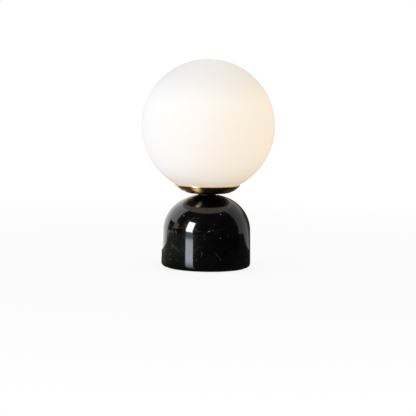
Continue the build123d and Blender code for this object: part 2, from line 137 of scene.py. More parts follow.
def setBump(tree, surface, height, distance):
    bump = addNode(tree, "Bump", {"Height": height, "Distance": distance, "Strength": 1.0})
    tree.links.new(bump.outputs[0], surface.inputs["Normal"])


def dress(nodeName, material):
    for materialSlot in nodes[nodeName].material_slots:
        materialSlot.material = material


# Camera, fitted to the outlines of the stone, the dish and the globe in the photograph

camera = {
    "place": (0.001676, -2.6336, 0.34985),
    "pitchDown": 0.102075,
    "roll": 0.0181147,
    "focalPixels": 1954.85,
    "framePixels": 416,
    "sensorWidth": 36.0,
    "clipStart": 0.05,
}
cameraData = bpy.data.cameras.new("camera")
cameraData.sensor_width = camera["sensorWidth"]
cameraData.lens = camera["focalPixels"] / camera["framePixels"] * camera["sensorWidth"]
cameraData.clip_start = camera["clipStart"]
cameraObject = bpy.data.objects.new("camera", cameraData)
scene.collection.objects.link(cameraObject)
pitch, roll = camera["pitchDown"], camera["roll"]
right = Vector((1, 0, 0))
up = Vector((0, math.sin(pitch), math.cos(pitch)))
ahead = Vector((0, math.cos(pitch), -math.sin(pitch)))
rolledRight = math.cos(roll) * right + math.sin(roll) * up
rolledUp = -math.sin(roll) * right + math.cos(roll) * up
turn = Matrix((rolledRight, rolledUp, -ahead)).transposed().to_4x4()
cameraObject.matrix_world = Matrix.Translation(camera["place"]) @ turn
scene.camera = cameraObject
print("camera placed")


# Effects that several finishes share, each one a node group

effects = {
    # how often the broad rings come, as a share of how often the fine ones do
    "broadRings": 0.2,
    "grainDetail": 3.0, "grainRoughness": 0.6, "blotchScale": 0.06,
    "smudgeSpan": (0.48, 0.75),
    "wipeStretch": (1.0, 1.0, 6.0), "wipeScale": 3.0, "wipeSpan": (0.6, 0.72), "wipeShare": 0.3,
    # a mark is at its full strength within this share of its width
    "lineCore": 0.15,
}


def newGroup(name, inputs, outputs):
    group = bpy.data.node_groups.new(name, "ShaderNodeTree")
    for label, kind, value in inputs:
        socket = group.interface.new_socket(label, in_out="INPUT", socket_type=kind)
        if value is not None:
            socket.default_value = value
    for label in outputs:
        group.interface.new_socket(label, in_out="OUTPUT", socket_type="NodeSocketFloat")
    source = group.nodes.new("NodeGroupInput").outputs
    target = group.nodes.new("NodeGroupOutput").inputs
    return group, source, target


# height and tone of the fine rings that a lathe or a polishing mop leaves round the lamp's axis:
# noise over radius and height alone, so that it runs true round the piece
def makeTurnedRings():
    group, source, target = newGroup(
        "turned rings",
        [("Place", "NodeSocketVector", None), ("Pitch", "NodeSocketFloat", 0.4 * mm)],
        ["Height", "Tone"],
    )
    height = axesOf(group, source["Place"])["Z"]
    sockets = {"X": radiusOf(group, source["Place"]), "Y": height}
    section = addNode(group, "CombineXYZ", sockets).outputs[0]
    fineScale = calc(group, "DIVIDE", 1.0, source["Pitch"])
    broadScale = calc(group, "DIVIDE", effects["broadRings"], source["Pitch"])
    fine = noise(group, section, fineScale, 1.0)
    broad = noise(group, section, broadScale)
    group.links.new(fine, target["Height"])
    halves = [calc(group, "MULTIPLY", part, 0.5) for part in (fine, broad)]
    group.links.new(calc(group, "ADD", *halves), target["Tone"])
    return group


# height and tone of a fine moulded, cast or etched grain, the same in every direction
def makeFineGrain():
    group, source, target = newGroup(
        "fine grain",
        [("Place", "NodeSocketVector", None), ("Size", "NodeSocketFloat", 0.4 * mm)],
        ["Height", "Tone"],
    )
    scale = calc(group, "DIVIDE", 1.0, source["Size"])
    grain = noise(group, source["Place"], scale, effects["grainDetail"], effects["grainRoughness"])
    blotchScale = calc(group, "MULTIPLY", scale, effects["blotchScale"])
    group.links.new(grain, target["Height"])
    group.links.new(noise(group, source["Place"], blotchScale), target["Tone"])
    return group


# haze that handling leaves: broad soft smudges with a few sharper wipes across them
def makeHandling():
    group, source, target = newGroup(
        "handling",
        [("Place", "NodeSocketVector", None), ("Size", "NodeSocketFloat", 20 * mm)],
        ["Haze"],
    )
    scale = calc(group, "DIVIDE", 1.0, source["Size"])
    broad = noise(group, source["Place"], scale, effects["grainDetail"], effects["grainRoughness"])
    smudge = span(group, broad, *effects["smudgeSpan"])
    stretched = vectorCalc(group, "MULTIPLY", source["Place"], effects["wipeStretch"])
    wipeScale = calc(group, "MULTIPLY", scale, effects["wipeScale"])
    wipe = span(group, noise(group, stretched, wipeScale), *effects["wipeSpan"])
    faintWipe = calc(group, "MULTIPLY", wipe, effects["wipeShare"])
    group.links.new(calc(group, "ADD", smudge, faintWipe, clamp=True), target["Haze"])
    return group


# height of a screw thread round the lamp's axis: a sine of turns minus height over pitch
def makeThread():
    group, source, target = newGroup(
        "thread",
        [("Place", "NodeSocketVector", None), ("Pitch", "NodeSocketFloat", 1.0 * mm)],
        ["Height"],
    )
    parts = axesOf(group, source["Place"])
    turns = calc(group, "DIVIDE", calc(group, "ARCTAN2", parts["Y"], parts["X"]), math.tau)
    rise = calc(group, "DIVIDE", parts["Z"], source["Pitch"])
    phase = calc(group, "MULTIPLY", calc(group, "SUBTRACT", turns, rise), math.tau)
    wave = calc(group, "SINE", phase)
    group.links.new(calc(group, "MULTIPLY_ADD", wave, 0.5, 0.5), target["Height"])
    return group


# a hair-thin mark from Start to End on a flattened surface, or a spot where the two nearly meet
def makeHairLine():
    group, source, target = newGroup(
        "hair line",
        [
            ("Place", "NodeSocketVector", None),
            ("Start", "NodeSocketVector", None),
            ("End", "NodeSocketVector", None),
            ("Width", "NodeSocketFloat", 0.5 * mm),
        ],
        ["Mask"],
    )
    along = vectorCalc(group, "SUBTRACT", source["End"], source["Start"])
    away = vectorCalc(group, "SUBTRACT", source["Place"], source["Start"])
    reach = vectorCalc(group, "DOT_PRODUCT", along, along, output="Value")
    passed = vectorCalc(group, "DOT_PRODUCT", away, along, output="Value")
    share = calc(group, "DIVIDE", passed, reach, clamp=True)
    scaled = addNode(group, "VectorMath", {0: along, "Scale": share}, operation="SCALE").outputs[0]
    gap = vectorCalc(group, "LENGTH", vectorCalc(group, "SUBTRACT", away, scaled), output="Value")
    inner = calc(group, "MULTIPLY", source["Width"], effects["lineCore"])
    group.links.new(span(group, gap, inner, source["Width"], 1.0, 0.0), target["Mask"])
    return group


turnedRings = makeTurnedRings()
fineGrain = makeFineGrain()
handling = makeHandling()
thread = makeThread()
hairLine = makeHairLine()


def useGroup(tree, group, **values):
    made = addNode(tree, "Group", node_tree=group)
    plug(tree, made, values)
    return made.outputs


# how broad the smudges of handling are on each kind of surface
smudgeSizes = {
    "stone": 30 * mm, "metal": 18 * mm, "thread": 6 * mm, "opal": 50 * mm, "moulded": 12 * mm,
    "cap": 8 * mm,
}


def handled(tree, place, kind):
    return useGroup(tree, handling, Place=place, Size=smudgeSizes[kind])["Haze"]


print("shared effects built")


# Polished black marble. Marks that show in front have their own places on the unrolled side of
# the stone: millimetres round from the middle of the front, and millimetres above the table.

marbleLook = {
    "black": shade(3, 3, 3),
    "charcoal": shade(11, 11, 11),
    "vein": shade(120, 120, 118),
    "speck": shade(190, 190, 186),
    "rust": shade(122, 74, 56),
    "tan": shade(126, 106, 84),
    "olive": shade(96, 86, 58),
    "polish": 0.05, "polishIndex": 1.5,
    "haze": 0.20, "hazeLevel": 0.07, "hazeSpread": 0.12,
    "warpScale": 22.0, "warpDetail": 3.0, "warpReach": 22 * mm,
    "cloudScale": 26.0, "cloudDetail": 5.0, "cloudRoughness": 0.55, "cloudSpan": (0.42, 0.78),
    "nets": [
        # scale of the cells, width of a vein, span of the noise that breaks it up, strength
        (19.0, 0.008, (0.54, 0.66), 0.34),
        (47.0, 0.012, (0.56, 0.68), 0.22),
    ],
    "gateScale": 1.3,
    "netSpan": (-35 * mm, 10 * mm), "frontShare": 0.10,
    "speckScale": 105.0, "speckSpan": (0.03, 0.09), "speckChance": (0.90, 0.97),
    "speckStrength": 0.5,
    "unrolledRadius": 60 * mm,
    "wander": 0.9 * mm, "wanderScale": 190.0, "wanderDetail": 2.0,
    "breakScale": 420.0, "breakSpan": (0.3, 0.62), "breakLevels": (0.35, 1.0),
    "marks": [
        # start, end, width, strength, colour: first the round spot and what lies about it
        ((-46.7, 60.3), (-45.5, 60.5), 6.6, 0.60, "tan"),
        ((-47.2, 60.0), (-46.4, 60.3), 2.8, 0.60, "rust"),
        ((-45.4, 56.6), (-44.4, 57.2), 1.6, 0.30, "tan"),
        ((-66.0, 61.8), (-51.4, 57.3), 0.6, 0.34, "vein"),
        ((-51.4, 57.3), (-45.8, 57.1), 0.7, 0.42, "vein"),
        ((-45.8, 57.1), (-26.4, 58.2), 0.5, 0.20, "vein"),
        ((-51.9, 56.6), (-53.0, 50.0), 1.1, 0.46, "vein"),
        ((-57.0, 53.4), (-56.7, 46.0), 0.6, 0.20, "vein"),
        ((-48.8, 54.2), (-49.6, 45.8), 0.7, 0.20, "vein"),
        ((-45.5, 52.6), (-44.1, 50.2), 0.7, 0.62, "speck"),
        ((-44.4, 49.0), (-44.8, 37.9), 0.8, 0.14, "vein"),
        ((-52.7, 48.2), (-51.0, 31.7), 1.0, 0.12, "vein"),
        # specks and clouds further down and on the left
        ((-53.2, 38.6), (-51.7, 29.5), 2.8, 0.09, "vein"),
        ((-53.7, 34.6), (-38.9, 26.9), 2.8, 0.055, "vein"),
        ((-50.0, 31.8), (-43.4, 31.0), 3.4, 0.10, "vein"),
        ((-57.5, 19.4), (-55.0, 21.6), 2.4, 0.14, "vein"),
        ((-70.9, 25.4), (-71.2, 22.4), 1.8, 0.34, "vein"),
        ((-75.1, 13.0), (-74.4, 11.6), 1.4, 0.35, "vein"),
        ((-68.2, 9.6), (-67.2, 9.6), 1.2, 0.34, "vein"),
        ((-42.8, 14.9), (-42.2, 14.3), 1.4, 0.12, "vein"),
        ((-36.8, 73.6), (-36.6, 73.7), 0.8, 0.75, "speck"),
        ((-41.1, 67.5), (-40.8, 67.6), 0.6, 0.25, "speck"),
        ((-12.8, 16.4), (-12.4, 16.6), 0.8, 0.35, "speck"),
        # right of the window
        ((-21.2, 71.0), (-11.7, 70.9), 0.7, 0.35, "olive"),
        ((-20.0, 70.2), (-18.3, 72.4), 0.4, 0.25, "vein"),
        ((-14.2, 57.9), (-11.7, 53.3), 0.5, 0.48, "vein"),
        ((-10.4, 54.4), (-7.6, 55.0), 0.4, 0.36, "vein"),
        ((0.8, 53.6), (4.0, 55.1), 0.5, 0.45, "vein"),
        ((3.5, 54.9), (4.2, 55.1), 0.6, 0.80, "speck"),
        ((4.0, 55.1), (9.2, 56.3), 0.5, 0.34, "vein"),
        ((15.0, 56.7), (26.9, 58.7), 0.4, 0.10, "vein"),
        ((22.3, 76.6), (22.5, 76.6), 0.9, 1.0, "speck"),
        ((19.5, 45.5), (19.7, 45.5), 0.7, 0.6, "speck"),
        ((11.0, 64.0), (11.3, 64.0), 0.6, 0.25, "speck"),
        ((29.9, 47.9), (30.3, 49.6), 1.6, 0.16, "olive"),
        ((37.7, 47.3), (38.1, 47.6), 0.7, 0.16, "vein"),
        ((-3.6, 50.8), (-2.6, 49.4), 2.6, 0.12, "olive"),
        ((-2.2, 44.7), (-2.0, 44.7), 0.6, 0.25, "speck"),
        # low in the middle
        ((-5.8, 27.5), (-5.3, 24.3), 0.6, 0.50, "vein"),
        ((-5.3, 24.3), (-6.4, 20.6), 0.5, 0.34, "vein"),
        ((-15.0, 28.1), (-9.9, 34.3), 0.4, 0.12, "vein"),
        ((-9.9, 34.3), (-2.6, 34.0), 0.4, 0.10, "vein"),
        ((-5.7, 11.0), (2.3, 19.4), 0.4, 0.10, "vein"),
        ((2.3, 19.4), (3.2, 25.8), 0.4, 0.08, "vein"),
        ((10.0, 26.9), (14.1, 25.2), 0.4, 0.16, "vein"),
        ((14.1, 25.2), (18.4, 18.8), 0.4, 0.26, "vein"),
        ((18.4, 18.8), (19.6, 16.5), 0.6, 0.36, "vein"),
    ],
}


def makeMarble(look):
    material, tree, surface = newFinish(
        "polished black marble", Coat_Weight=1.0, Coat_Roughness=look["polish"],
        Coat_IOR=look["polishIndex"], Specular_IOR_Level=look["hazeLevel"],
    )
    place = objectPlace(tree)
    reach = look["warpReach"]
    bent = pushed(tree, place, place, look["warpScale"], look["warpDetail"], (reach, reach, reach))

    # ground: black with slow charcoal clouds
    clouds = noise(tree, bent, look["cloudScale"], look["cloudDetail"], look["cloudRoughness"])
    cloudMask = span(tree, clouds, *look["cloudSpan"])
    colour = mixColour(tree, cloudMask, look["black"], look["charcoal"])

    # two nets of hair veins along the borders of warped cells, broken up by noise, and fainter in
    # front, where the single marks are
    parts = axesOf(tree, place)
    netShare = span(tree, parts["Y"], *look["netSpan"], look["frontShare"], 1.0)
    for scale, width, gateSpan, strength in look["nets"]:
        cells = addNode(
            tree, "TexVoronoi", {"Vector": bent, "Scale": scale}, feature="DISTANCE_TO_EDGE"
        ).outputs["Distance"]
        line = span(tree, cells, 0.0, width, 1.0, 0.0)
        gate = span(tree, noise(tree, place, scale * look["gateScale"]), *gateSpan)
        vein = calc(tree, "MULTIPLY", calc(tree, "MULTIPLY", line, gate), strength)
        vein = calc(tree, "MULTIPLY", vein, netShare)
        colour = mixColour(tree, vein, colour, look["vein"])

    # scattered specks: the middles of a few small cells
    specks = addNode(tree, "TexVoronoi", {"Vector": place, "Scale": look["speckScale"]}).outputs
    dot = span(tree, specks["Distance"], *look["speckSpan"], 1.0, 0.0)
    rare = span(tree, axesOf(tree, specks["Color"])["X"], *look["speckChance"])
    speckMask = calc(tree, "MULTIPLY", calc(tree, "MULTIPLY", dot, rare), look["speckStrength"])
    colour = mixColour(tree, speckMask, colour, look["speck"])

    # the single marks, on the unrolled side, each with a slight wander
    angle = calc(tree, "ARCTAN2", parts["X"], calc(tree, "MULTIPLY", parts["Y"], -1.0))
    around = calc(tree, "MULTIPLY", angle, look["unrolledRadius"])
    unrolled = addNode(tree, "CombineXYZ", {"X": around, "Y": parts["Z"]}).outputs[0]
    wander = (look["wander"], look["wander"], 0.0)
    wandered = pushed(tree, unrolled, place, look["wanderScale"], look["wanderDetail"], wander)
    breaks = noise(tree, place, look["breakScale"])
    fade = span(tree, breaks, *look["breakSpan"], *look["breakLevels"])
    for start, end, width, strength, tint in look["marks"]:
        mask = useGroup(
            tree, hairLine, Place=wandered,
            Start=(start[0] * mm, start[1] * mm, 0.0), End=(end[0] * mm, end[1] * mm, 0.0),
            Width=width * mm,
        )["Mask"]
        mask = calc(tree, "MULTIPLY", calc(tree, "MULTIPLY", mask, fade), strength)
        colour = mixColour(tree, mask, colour, look[tint])

    # under the clear polish the stone itself scatters a faint haze, rougher where it was handled
    haze = handled(tree, place, "stone")
    soft = calc(tree, "MULTIPLY_ADD", haze, look["hazeSpread"], look["haze"])
    plug(tree, surface, {"Base Color": colour, "Roughness": soft})
    return material


dress("marble_base", makeMarble(marbleLook))
print("stone finished")


# Turned metal: brass for the dish, and the steels and contact metals of the inner pieces

metalLooks = {
    "turned brass": dict(
        bright=shade(214, 192, 140), dull=shade(122, 66, 24), roughness=0.30, spread=0.05,
        pitch=1.3 * mm, depth=0.0006 * mm, smudge=0.05, streak=1.0, nodes=["brass_dish"],
        ringTones=(0.1, 0.9), glossWithin=(33 * mm, 42 * mm), innerRoughness=0.14, innerRings=0.18,
        # the rim colour below is a painted highlight: a paler colour on the top edge of the dish
        rimHighlightAbove=(111.3 * mm, 111.5 * mm), rim=shade(232, 208, 164),
    ),
    "zinc plated steel": dict(
        bright=shade(205, 207, 206), dull=shade(176, 180, 178), roughness=0.26, spread=0.12,
        pitch=0.35 * mm, depth=0.006 * mm, nodes=["base_washer", "base_nut", "dish_nut"],
    ),
    "spring steel": dict(
        bright=shade(196, 198, 200), dull=shade(150, 150, 152), roughness=0.2, spread=0.12,
        pitch=0.5 * mm, depth=0.005 * mm,
        nodes=["base_spring_washer", "dish_spring_washer", "clip_spider"],
    ),
    "contact brass": dict(
        bright=shade(226, 190, 122), dull=shade(186, 142, 80), roughness=0.24, spread=0.14,
        pitch=0.4 * mm, depth=0.006 * mm,
        nodes=["holder_shell", "centre_contact", "holder_terminals"],
    ),
    "support wire": dict(
        bright=shade(196, 194, 190), dull=shade(160, 158, 154), roughness=0.3, spread=0.1,
        pitch=0.3 * mm, depth=0.003 * mm, nodes=["bulb_supports"],
    ),
}


# what a turned metal has where its own look says nothing else
metalDefaults = {
    "toneSpan": (0.38, 0.62), "ringTones": (0.0, 0.6), "smudge": 0.35, "streakTurn": 0.25,
}


def makeTurnedMetal(name, ownLook):
    look = {**metalDefaults, **ownLook}
    material, tree, surface = newFinish(name, Metallic=1.0, Roughness=look["roughness"])
    if "streak" in look:
        surface.inputs["Anisotropic"].default_value = look["streak"]
        surface.inputs["Anisotropic Rotation"].default_value = look["streakTurn"]
        tangent = addNode(tree, "Tangent", direction_type="RADIAL", axis="Z").outputs[0]
        tree.links.new(tangent, surface.inputs["Tangent"])
    place = objectPlace(tree)
    rings = useGroup(tree, turnedRings, Place=place, Pitch=look["pitch"])
    ringTone = span(tree, rings["Tone"], *look["toneSpan"], *look["ringTones"])
    level = look["roughness"]
    if "glossWithin" in look:  # towards the axis it is polished further, and its rings are fainter
        radius = radiusOf(tree, place)
        level = span(tree, radius, *look["glossWithin"], look["innerRoughness"], level)
        ringShare = span(tree, radius, *look["glossWithin"], look["innerRings"], 1.0)
        ringTone = calc(tree, "MULTIPLY", ringTone, ringShare)
    haze = handled(tree, place, "metal")
    dulled = calc(tree, "MULTIPLY_ADD", haze, look["smudge"], ringTone, clamp=True)
    colour = mixColour(tree, dulled, look["bright"], look["dull"])
    # painted highlight: above this height the edge of the rim is given a paler, brighter colour
    if "rimHighlightAbove" in look:  # the edge of the rim is brighter
        rimHighlightMask = span(tree, axesOf(tree, place)["Z"], *look["rimHighlightAbove"], 0.0, 1.0)
        colour = mixColour(tree, rimHighlightMask, colour, look["rim"])
    uneven = calc(tree, "MULTIPLY_ADD", dulled, look["spread"], level)
    plug(tree, surface, {"Base Color": colour, "Roughness": uneven})
    setBump(tree, surface, rings["Height"], look["depth"])
    return material


for finishName, look in metalLooks.items():
    finish = makeTurnedMetal(finishName, look)
    for nodeName in look["nodes"]:
        dress(nodeName, finish)


# Threaded steel: the tube has a fine thread, the small screws a slot across their heads

threadLook = {
    "bright": shade(214, 206, 188), "dull": shade(168, 160, 140), "dullShare": 0.8,
    # the dark steel colour below is painted shade for the roots of the thread
    "rootShade": shade(90, 84, 72), "rootShadeSpan": (0.0, 0.4), "rootShadeShare": 0.45,
    "roughness": 0.28, "spread": 0.15, "pitch": 1.0 * mm, "depth": 0.35 * mm,
}


def makeThreadedSteel(look):
    material, tree, surface = newFinish("threaded steel", Metallic=1.0)
    place = objectPlace(tree)
    height = useGroup(tree, thread, Place=place, Pitch=look["pitch"])["Height"]
    haze = handled(tree, place, "thread")
    dullMask = calc(tree, "MULTIPLY", haze, look["dullShare"])
    colour = mixColour(tree, dullMask, look["bright"], look["dull"])
    # painted shade: the colour turns darker towards the roots of the thread, where its height is
    # low
    rootShadeMask = span(tree, height, *look["rootShadeSpan"], look["rootShadeShare"], 0.0)
    shaded = mixColour(tree, rootShadeMask, colour, look["rootShade"])
    uneven = calc(tree, "MULTIPLY_ADD", haze, look["spread"], look["roughness"])
    plug(tree, surface, {"Base Color": shaded, "Roughness": uneven})
    setBump(tree, surface, height, look["depth"])
    return material


dress("centre_tube", makeThreadedSteel(threadLook))

screwLook = {
    "head": shade(198, 200, 200), "dull": shade(160, 162, 162), "dullShare": 0.5,
    # the near-black colour below is painted shade inside the screw slot
    "slotShade": shade(28, 28, 28), "roughness": 0.3, "spread": 0.15, "grain": 0.3 * mm,
    "slotWidth": 0.6 * mm, "slotEdges": (0.4, 0.6), "slotDepth": 0.5 * mm,
}


# the slot runs level across every screw, a groove in the bump with painted shade in it: dark where
# height is within half its width of the middle
def makeSlottedSteel(name, screwHeight, look):
    material, tree, surface = newFinish(name, Metallic=1.0)
    place = objectPlace(tree)
    height = axesOf(tree, place)["Z"]
    off = calc(tree, "ABSOLUTE", calc(tree, "SUBTRACT", height, screwHeight))
    slotStart, slotEnd = [look["slotWidth"] * edge for edge in look["slotEdges"]]
    slotMask = span(tree, off, slotStart, slotEnd, 1.0, 0.0)
    grain = useGroup(tree, fineGrain, Place=place, Size=look["grain"])
    dullMask = calc(tree, "MULTIPLY", grain["Tone"], look["dullShare"])
    tone = mixColour(tree, dullMask, look["head"], look["dull"])
    # painted shade: the slot is darkened
    colour = mixColour(tree, slotMask, tone, look["slotShade"])
    uneven = calc(tree, "MULTIPLY_ADD", grain["Tone"], look["spread"], look["roughness"])
    plug(tree, surface, {"Base Color": colour, "Roughness": uneven})
    setBump(tree, surface, calc(tree, "SUBTRACT", 1.0, slotMask), look["slotDepth"])
    return material


for nodeName in ("holder_grub_screw", "terminal_screws"):
    low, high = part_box(nodeName)
    dress(nodeName, makeSlottedSteel(nodeName + " steel", (low.z + high.z) / 2, screwLook))
print("metals finished")


# Satin opal glass, glowing softly. The glow goes from white on one side to cream on the other, as a
# mix of two colours over the object's own coordinates. It fades towards the top and the foot, and
# is tinted warm at the foot. These changes are painted light and shade in the glow: they stand for
# how the light falls on the globe.

opalLook = {
    "body": shade(196, 196, 197),
    "coolGlow": shade(199, 198, 198),
    "warmGlow": shade(196, 176, 142),
    "glowStrength": 1.0,
    "warmSide": (0.96, 0.0, -0.28),
    "warmReach": 0.95,
    "fadeMiddle": -0.09,
    "fadeSpan": (0.38, 1.0),
    "fadeEnd": 0.74,
    "paintedFootWarmth": (0.98, 0.85, 0.67),
    "footSpan": (-0.90, -0.70),
    "driftScale": 9.0, "drift": 0.04,
    "bodyDull": shade(190, 190, 190), "dullShare": 0.25,
    "roughness": 0.5, "spread": 0.06,
    "specularLevel": 0.2,
    "grain": 0.5 * mm,
    "grainDepth": 0.012 * mm,
}


def makeOpalGlass(look):
    material, tree, surface = newFinish(
        "satin opal glass", Specular_IOR_Level=look["specularLevel"],
        Emission_Strength=look["glowStrength"],
    )
    place = objectPlace(tree)
    low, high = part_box("globe_glass")
    radius = (high.x - low.x) / 2
    centre = (0.0, 0.0, high.z - radius)
    outwards = vectorCalc(tree, "SUBTRACT", place, centre)
    # painted light: the glow is cool on one side and warm on the side it faces
    side = vectorCalc(tree, "DOT_PRODUCT", outwards, look["warmSide"], output="Value")
    drift = calc(tree, "SUBTRACT", noise(tree, place, look["driftScale"]), 0.5)
    warmth = calc(tree, "MULTIPLY_ADD", drift, look["drift"], side)
    reach = look["warmReach"] * radius
    glow = mixColour(tree, span(tree, warmth, -reach, reach), look["coolGlow"], look["warmGlow"])
    level = calc(tree, "DIVIDE", axesOf(tree, outwards)["Z"], radius)
    # painted shade: the glow dims towards the top and the foot, and turns warmer at the foot
    fromMiddle = calc(tree, "ABSOLUTE", calc(tree, "SUBTRACT", level, look["fadeMiddle"]))
    fade = span(tree, fromMiddle, *look["fadeSpan"], 1.0, look["fadeEnd"])
    glow = addNode(tree, "VectorMath", {0: glow, "Scale": fade}, operation="SCALE").outputs[0]
    footGlow = vectorCalc(tree, "MULTIPLY", glow, look["paintedFootWarmth"])
    glow = mixColour(tree, span(tree, level, *look["footSpan"], 1.0, 0.0), glow, footGlow)
    grain = useGroup(tree, fineGrain, Place=place, Size=look["grain"])
    dullMask = calc(tree, "MULTIPLY", grain["Tone"], look["dullShare"])
    body = mixColour(tree, dullMask, look["body"], look["bodyDull"])
    haze = handled(tree, place, "opal")
    uneven = calc(tree, "MULTIPLY_ADD", haze, look["spread"], look["roughness"])
    plug(tree, surface, {"Emission Color": glow, "Base Color": body, "Roughness": uneven})
    setBump(tree, surface, grain["Height"], look["grainDepth"])
    return material


dress("globe_glass", makeOpalGlass(opalLook))
print("opal glass finished")


# Moulded, cast and painted pieces, each a grain with its own size, depth and two tones

mouldedLooks = {
    "satin black paint": dict(
        light=shade(15, 15, 15), dark=shade(8, 8, 8), roughness=0.55, spread=0.08,
        size=0.35 * mm, depth=0.006 * mm, nodes=["neck_ring"],
    ),
    "holder plastic": dict(
        light=shade(44, 43, 42), dark=shade(31, 30, 30), roughness=0.42, spread=0.12,
        size=0.45 * mm, depth=0.02 * mm, nodes=["holder_cap", "holder_skirt"],
    ),
    "black plastic": dict(
        light=shade(40, 40, 40), dark=shade(28, 28, 28), roughness=0.45, spread=0.1,
        size=0.4 * mm, depth=0.015 * mm, nodes=["tube_bush"],
    ),
    "black rubber": dict(
        light=shade(38, 37, 36), dark=shade(25, 24, 24), roughness=0.62, spread=0.12,
        size=0.6 * mm, depth=0.03 * mm, nodes=["cord_grommet"],
    ),
    "pad foam": dict(
        light=shade(58, 57, 56), dark=shade(38, 37, 37), roughness=0.85, spread=0.08,
        size=0.9 * mm, depth=0.12 * mm, nodes=["base_pad"],
    ),
    "milky silicone": dict(
        light=shade(226, 225, 220), dark=shade(205, 203, 197), roughness=0.4, spread=0.1,
        size=0.8 * mm, depth=0.01 * mm, nodes=["globe_gasket", "clip_sleeves"],
    ),
    "glazed ceramic": dict(
        light=shade(228, 224, 214), dark=shade(208, 203, 192), roughness=0.22, spread=0.14,
        size=0.7 * mm, depth=0.01 * mm, nodes=["holder_insert"],
    ),
    "black cap glass": dict(
        light=shade(26, 25, 30), dark=shade(14, 14, 17), roughness=0.12, spread=0.08,
        size=0.5 * mm, depth=0.005 * mm, nodes=["bulb_insulator"],
    ),
}
# the tones of the grain between which dark turns to light
mouldedTones = (0.35, 0.65)


def makeMoulded(name, look):
    material, tree, surface = newFinish(name, Roughness=look["roughness"])
    place = objectPlace(tree)
    grain = useGroup(tree, fineGrain, Place=place, Size=look["size"])
    haze = handled(tree, place, "moulded")
    colour = mixColour(tree, span(tree, grain["Tone"], *mouldedTones), look["dark"], look["light"])
    uneven = calc(tree, "MULTIPLY_ADD", haze, look["spread"], look["roughness"])
    plug(tree, surface, {"Base Color": colour, "Roughness": uneven})
    setBump(tree, surface, grain["Height"], look["depth"])
    return material


for finishName, look in mouldedLooks.items():
    finish = makeMoulded(finishName, look)
    for nodeName in look["nodes"]:
        dress(nodeName, finish)
print("moulded pieces finished")


# Bulb: clear glass, glowing rods, solder tip, driver board, and a cap with its rolled thread

glassLook = {"index": 1.47, "rippleScale": 60.0, "rippleDepth": 0.02 * mm}


def makeClearGlass(look):
    material, tree, surface = newFinish(
        "clear glass", Base_Color=(1, 1, 1, 1), Roughness=0.0, IOR=look["index"],
        Transmission_Weight=1.0,
    )
    ripple = noise(tree, objectPlace(tree), look["rippleScale"], 1.0)
    setBump(tree, surface, ripple, look["rippleDepth"])
    return material


rodLook = {
    "phosphor": shade(228, 176, 70), "chip": shade(250, 226, 150), "roughness": 0.5,
    "glow": shade(255, 200, 112), "chipGlow": shade(255, 226, 160), "glowStrength": 0.6,
    "chipPitch": 1.4 * mm, "chipSpan": (-0.2, 0.9), "chipTone": 0.35,
    "grain": 0.3 * mm, "depth": 0.03 * mm,
}


# phosphor rods with the faint row of chips showing through, one about every chipPitch of height
def makeRods(look):
    material, tree, surface = newFinish(
        "phosphor rods", Roughness=look["roughness"], Emission_Strength=look["glowStrength"]
    )
    place = objectPlace(tree)
    height = axesOf(tree, place)["Z"]
    beat = calc(tree, "SINE", calc(tree, "MULTIPLY", height, math.tau / look["chipPitch"]))
    grain = useGroup(tree, fineGrain, Place=place, Size=look["grain"])
    chips = calc(tree, "MULTIPLY", span(tree, beat, *look["chipSpan"]), look["chipTone"])
    colour = mixColour(tree, chips, look["phosphor"], look["chip"])
    glow = mixColour(tree, chips, look["glow"], look["chipGlow"])
    plug(tree, surface, {"Base Color": colour, "Emission Color": glow})
    setBump(tree, surface, grain["Height"], look["depth"])
    return material


solderLook = {
    "bright": shade(190, 190, 192), "dull": shade(150, 150, 154), "roughness": 0.3,
    "grain": 0.8 * mm, "depth": 0.08 * mm,
}


def makeSolder(look):
    material, tree, surface = newFinish("solder", Metallic=1.0, Roughness=look["roughness"])
    grain = useGroup(tree, fineGrain, Place=objectPlace(tree), Size=look["grain"])
    colour = mixColour(tree, grain["Tone"], look["bright"], look["dull"])
    plug(tree, surface, {"Base Color": colour})
    setBump(tree, surface, grain["Height"], look["depth"])
    return material


boardLook = {
    "board": shade(26, 84, 48), "track": shade(44, 116, 66), "roughness": 0.4,
    "trackScale": 520.0, "trackSpan": (0.28, 0.34), "depth": 0.03 * mm,
}


def makeDriverBoard(look):
    material, tree, surface = newFinish("driver board", Roughness=look["roughness"])
    sockets = {"Vector": objectPlace(tree), "Scale": look["trackScale"]}
    cells = addNode(tree, "TexVoronoi", sockets, distance="CHEBYCHEV").outputs["Distance"]
    track = span(tree, cells, *look["trackSpan"])
    plug(tree, surface, {"Base Color": mixColour(tree, track, look["board"], look["track"])})
    setBump(tree, surface, track, look["depth"])
    return material


clearGlass = makeClearGlass(glassLook)
dress("bulb_glass", clearGlass)
dress("bulb_stem", clearGlass)
dress("bulb_filaments", makeRods(rodLook))
dress("bulb_contact", makeSolder(solderLook))
dress("bulb_driver", makeDriverBoard(boardLook))

capLook = {
    "bright": shade(208, 206, 200), "dull": shade(172, 168, 160),
    "roughness": 0.22, "spread": 0.16, "grain": 0.35 * mm, "depth": 0.004 * mm,
    "threadPitch": 2.82 * mm, "threadDepth": 0.62 * mm, "runOut": 1.6 * mm,
    "wall": 0.4 * mm, "bevel": 0.8 * mm, "footLip": 1.2 * mm, "leastRadius": 0.1 * mm,
    "aroundSteps": 144, "heightSteps": 150,
}


# A mesh from a grid of points, rows along the section and columns round the axis. The last column
# joins the first, and so does the last row, so that the skin has no edge.
def ringMesh(name, points):
    rows, columns = points.shape[:2]
    row = np.arange(rows)[:, None]
    column = np.arange(columns)[None, :]
    nextRow, nextColumn = (row + 1) % rows, (column + 1) % columns
    corners = np.stack(
        [row * columns + column, row * columns + nextColumn,
         nextRow * columns + nextColumn, nextRow * columns + column], axis=-1
    ).reshape(-1, 4)
    mesh = bpy.data.meshes.new(name)
    mesh.from_pydata(points.reshape(-1, 3).tolist(), [], corners.tolist())
    mesh.update()
    made = bpy.data.objects.new(name, mesh)
    scene.collection.objects.link(made)
    return made


